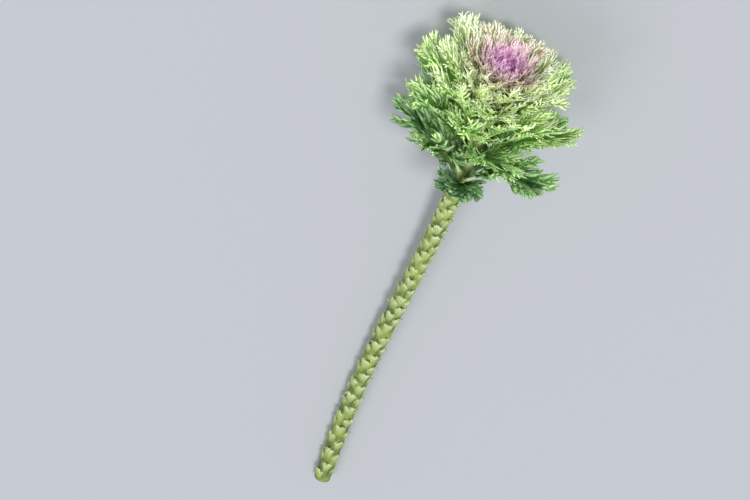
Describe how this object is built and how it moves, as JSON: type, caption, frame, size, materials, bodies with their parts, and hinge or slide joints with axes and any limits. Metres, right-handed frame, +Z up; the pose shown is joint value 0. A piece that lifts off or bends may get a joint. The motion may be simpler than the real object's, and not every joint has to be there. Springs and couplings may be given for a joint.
{
  "type": "ornamental kale stem",
  "caption": "Cut stem of feather-leaved ornamental kale lying on its side: bare knobbly stem, loose head of finely cut leaves, green outside to purple at the heart.",
  "frame": {"origin": "middle of the footprint on the surface that the stem lies on", "axes": "+X along the stem from its cut end to its head, +Z up from the surface"},
  "size_m": [0.6996, 0.1932, 0.1806],
  "materials": {
    "stem": "satin",
    "green_leaf": "satin",
    "lime_leaf": "satin",
    "cream_leaf": "satin",
    "pink_leaf": "satin",
    "purple_leaf": "satin",
    "heart": "satin"
  },
  "bodies": {
    "root": {"cream_leaf_29": "cream_leaf", "cream_leaf_30": "cream_leaf", "cream_leaf_31": "cream_leaf", "cream_leaf_32": "cream_leaf", "cream_leaf_33": "cream_leaf", "cream_leaf_34": "cream_leaf", "cream_leaf_35": "cream_leaf", "cream_leaf_36": "cream_leaf", "cream_leaf_37": "cream_leaf", "cream_leaf_38": "cream_leaf", "cream_leaf_39": "cream_leaf", "green_leaf_01": "green_leaf", "green_leaf_02": "green_leaf", "green_leaf_03": "green_leaf", "green_leaf_04": "green_leaf", "green_leaf_05": "green_leaf", "green_leaf_06": "green_leaf", "green_leaf_07": "green_leaf", "green_leaf_08": "green_leaf", "green_leaf_09": "green_leaf", "green_leaf_10": "green_leaf", "green_leaf_11": "green_leaf", "green_leaf_12": "green_leaf", "green_leaf_13": "green_leaf", "green_leaf_14": "green_leaf", "green_leaf_15": "green_leaf", "green_leaf_16": "green_leaf", "green_leaf_17": "green_leaf", "green_leaf_18": "green_leaf", "heart_bud": "heart", "lime_leaf_19": "lime_leaf", "lime_leaf_20": "lime_leaf", "lime_leaf_21": "lime_leaf", "lime_leaf_22": "lime_leaf", "lime_leaf_23": "lime_leaf", "lime_leaf_24": "lime_leaf", "lime_leaf_25": "lime_leaf", "lime_leaf_26": "lime_leaf", "lime_leaf_27": "lime_leaf", "lime_leaf_28": "lime_leaf", "pink_leaf_40": "pink_leaf", "pink_leaf_41": "pink_leaf", "pink_leaf_42": "pink_leaf", "pink_leaf_43": "pink_leaf", "pink_leaf_44": "pink_leaf", "pink_leaf_45": "pink_leaf", "pink_leaf_46": "pink_leaf", "pink_leaf_47": "pink_leaf", "pink_leaf_48": "pink_leaf", "pink_leaf_49": "pink_leaf", "purple_leaf_50": "purple_leaf", "purple_leaf_51": "purple_leaf", "purple_leaf_52": "purple_leaf", "purple_leaf_53": "purple_leaf", "purple_leaf_54": "purple_leaf", "purple_leaf_55": "purple_leaf", "purple_leaf_56": "purple_leaf", "purple_leaf_57": "purple_leaf", "purple_leaf_58": "purple_leaf", "stem": "stem"}
  },
  "joints": []
}
